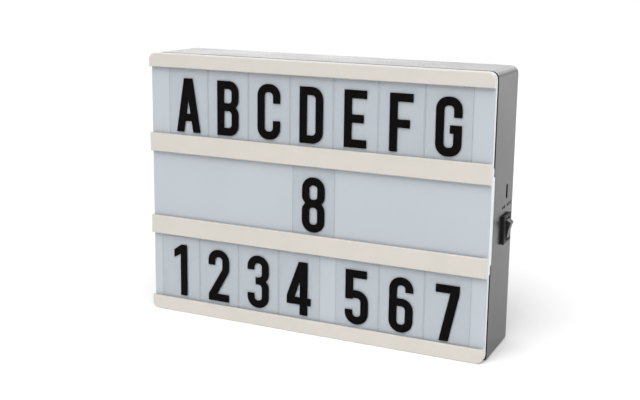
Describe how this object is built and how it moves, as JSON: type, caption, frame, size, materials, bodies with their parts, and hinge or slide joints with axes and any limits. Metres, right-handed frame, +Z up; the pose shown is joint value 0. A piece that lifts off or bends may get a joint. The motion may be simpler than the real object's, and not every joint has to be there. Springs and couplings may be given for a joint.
{
  "type": "light box",
  "caption": "Tabletop light box with a changeable letter front: grey housing, opal front with cream rails, sliding tiles, side rocker switch and rear battery door.",
  "frame": {"origin": "centre of the base, half way between the two sides and between the rails' front and the rear wall", "axes": "front faces -Y, +X to the right seen from the front, +Z up"},
  "size_m": [0.2141, 0.047, 0.1565],
  "materials": {
    "housing_plastic": "satin",
    "opal_plastic": "opal satin",
    "rail_plastic": "satin",
    "tile_film": "clear gloss",
    "reflector": "matte",
    "strip_board": "satin",
    "circuit_board": "satin",
    "socket_steel": "brushed",
    "switch_plastic": "satin",
    "rocker_plastic": "satin gloss",
    "contact_metal": "bright",
    "cell_sleeve": "printed sleeve",
    "screw_steel": "zinc plated",
    "wire_red": "satin",
    "wire_black": "satin",
    "wire_white": "satin"
  },
  "bodies": {
    "light_box": {"rear_housing": "housing_plastic", "diffuser_tray": "opal_plastic", "bottom_rail": "rail_plastic", "lower_rail": "rail_plastic", "upper_rail": "rail_plastic", "top_rail": "rail_plastic", "reflector_sheet": "reflector", "led_strip_1": "strip_board", "led_strip_2": "strip_board", "led_strip_3": "strip_board", "control_board": "circuit_board", "charging_socket": "socket_steel", "switch_body": "switch_plastic", "switch_terminal_1": "contact_metal", "switch_terminal_2": "contact_metal", "battery_cell_1": "cell_sleeve", "battery_cell_2": "cell_sleeve", "battery_cell_3": "cell_sleeve", "battery_cell_4": "cell_sleeve", "contact_negative": "contact_metal", "contact_bridge_1": "contact_metal", "contact_bridge_2": "contact_metal", "contact_bridge_3": "contact_metal", "contact_positive": "contact_metal", "housing_screw_1": "screw_steel", "housing_screw_2": "screw_steel", "housing_screw_3": "screw_steel", "housing_screw_4": "screw_steel", "board_screw_1": "screw_steel", "board_screw_2": "screw_steel", "battery_wire_positive": "wire_red", "battery_wire_negative": "wire_black", "switch_wire": "wire_red", "strip_feed_wire": "wire_white", "strip_link_lower": "wire_white", "strip_link_upper": "wire_white"},
    "rocker": {"switch_rocker": "rocker_plastic"},
    "door": {"battery_door": "housing_plastic"},
    "tile_top_1": {"letter_tile_top_1": "tile_film"},
    "tile_top_2": {"letter_tile_top_2": "tile_film"},
    "tile_top_3": {"letter_tile_top_3": "tile_film"},
    "tile_top_4": {"letter_tile_top_4": "tile_film"},
    "tile_top_5": {"letter_tile_top_5": "tile_film"},
    "tile_top_6": {"letter_tile_top_6": "tile_film"},
    "tile_top_7": {"letter_tile_top_7": "tile_film"},
    "tile_middle_1": {"letter_tile_middle_1": "tile_film"},
    "tile_bottom_1": {"letter_tile_bottom_1": "tile_film"},
    "tile_bottom_2": {"letter_tile_bottom_2": "tile_film"},
    "tile_bottom_3": {"letter_tile_bottom_3": "tile_film"},
    "tile_bottom_4": {"letter_tile_bottom_4": "tile_film"},
    "tile_bottom_5": {"letter_tile_bottom_5": "tile_film"},
    "tile_bottom_6": {"letter_tile_bottom_6": "tile_film"},
    "tile_bottom_7": {"letter_tile_bottom_7": "tile_film"}
  },
  "joints": [
    {"name": "rocker_tilt", "type": "hinge", "parent": "light_box", "child": "rocker", "pos_m": [0.1046, 0.0088, 0.0683], "axis": [0, 1, 0], "range_deg": [-24, 0]},
    {"name": "battery_door_hinge", "type": "hinge", "parent": "light_box", "child": "door", "pos_m": [0, 0.0235, 0.0286], "axis": [-1, 0, 0], "range_deg": [0, 60]},
    {"name": "tile_top_1_slide", "type": "slide", "parent": "light_box", "child": "tile_top_1", "axis": [1, 0, 0], "range_m": [-0.0107, 0.0088]},
    {"name": "tile_top_2_slide", "type": "slide", "parent": "light_box", "child": "tile_top_2", "axis": [1, 0, 0], "range_m": [-0.0107, 0.0088]},
    {"name": "tile_top_3_slide", "type": "slide", "parent": "light_box", "child": "tile_top_3", "axis": [1, 0, 0], "range_m": [-0.0107, 0.0088]},
    {"name": "tile_top_4_slide", "type": "slide", "parent": "light_box", "child": "tile_top_4", "axis": [1, 0, 0], "range_m": [-0.0107, 0.0088]},
    {"name": "tile_top_5_slide", "type": "slide", "parent": "light_box", "child": "tile_top_5", "axis": [1, 0, 0], "range_m": [-0.0107, 0.0088]},
    {"name": "tile_top_6_slide", "type": "slide", "parent": "light_box", "child": "tile_top_6", "axis": [1, 0, 0], "range_m": [-0.0107, 0.0088]},
    {"name": "tile_top_7_slide", "type": "slide", "parent": "light_box", "child": "tile_top_7", "axis": [1, 0, 0], "range_m": [-0.0107, 0.0088]},
    {"name": "tile_middle_1_slide", "type": "slide", "parent": "light_box", "child": "tile_middle_1", "axis": [1, 0, 0], "range_m": [-0.0923, 0.0867]},
    {"name": "tile_bottom_1_slide", "type": "slide", "parent": "light_box", "child": "tile_bottom_1", "axis": [1, 0, 0], "range_m": [-0.004, 0.0047]},
    {"name": "tile_bottom_2_slide", "type": "slide", "parent": "light_box", "child": "tile_bottom_2", "axis": [1, 0, 0], "range_m": [-0.004, 0.0047]},
    {"name": "tile_bottom_3_slide", "type": "slide", "parent": "light_box", "child": "tile_bottom_3", "axis": [1, 0, 0], "range_m": [-0.004, 0.0047]},
    {"name": "tile_bottom_4_slide", "type": "slide", "parent": "light_box", "child": "tile_bottom_4", "axis": [1, 0, 0], "range_m": [-0.004, 0.0047]},
    {"name": "tile_bottom_5_slide", "type": "slide", "parent": "light_box", "child": "tile_bottom_5", "axis": [1, 0, 0], "range_m": [-0.0047, 0.006]},
    {"name": "tile_bottom_6_slide", "type": "slide", "parent": "light_box", "child": "tile_bottom_6", "axis": [1, 0, 0], "range_m": [-0.0047, 0.006]},
    {"name": "tile_bottom_7_slide", "type": "slide", "parent": "light_box", "child": "tile_bottom_7", "axis": [1, 0, 0], "range_m": [-0.0047, 0.006]}
  ],
  "couplings": [
    {"joint": "tile_top_2_slide", "follows": "tile_top_1_slide", "ratio": 1},
    {"joint": "tile_top_3_slide", "follows": "tile_top_1_slide", "ratio": 1},
    {"joint": "tile_top_4_slide", "follows": "tile_top_1_slide", "ratio": 1},
    {"joint": "tile_top_5_slide", "follows": "tile_top_1_slide", "ratio": 1},
    {"joint": "tile_top_6_slide", "follows": "tile_top_1_slide", "ratio": 1},
    {"joint": "tile_top_7_slide", "follows": "tile_top_1_slide", "ratio": 1},
    {"joint": "tile_bottom_2_slide", "follows": "tile_bottom_1_slide", "ratio": 1},
    {"joint": "tile_bottom_3_slide", "follows": "tile_bottom_1_slide", "ratio": 1},
    {"joint": "tile_bottom_4_slide", "follows": "tile_bottom_1_slide", "ratio": 1},
    {"joint": "tile_bottom_6_slide", "follows": "tile_bottom_5_slide", "ratio": 1},
    {"joint": "tile_bottom_7_slide", "follows": "tile_bottom_5_slide", "ratio": 1}
  ]
}
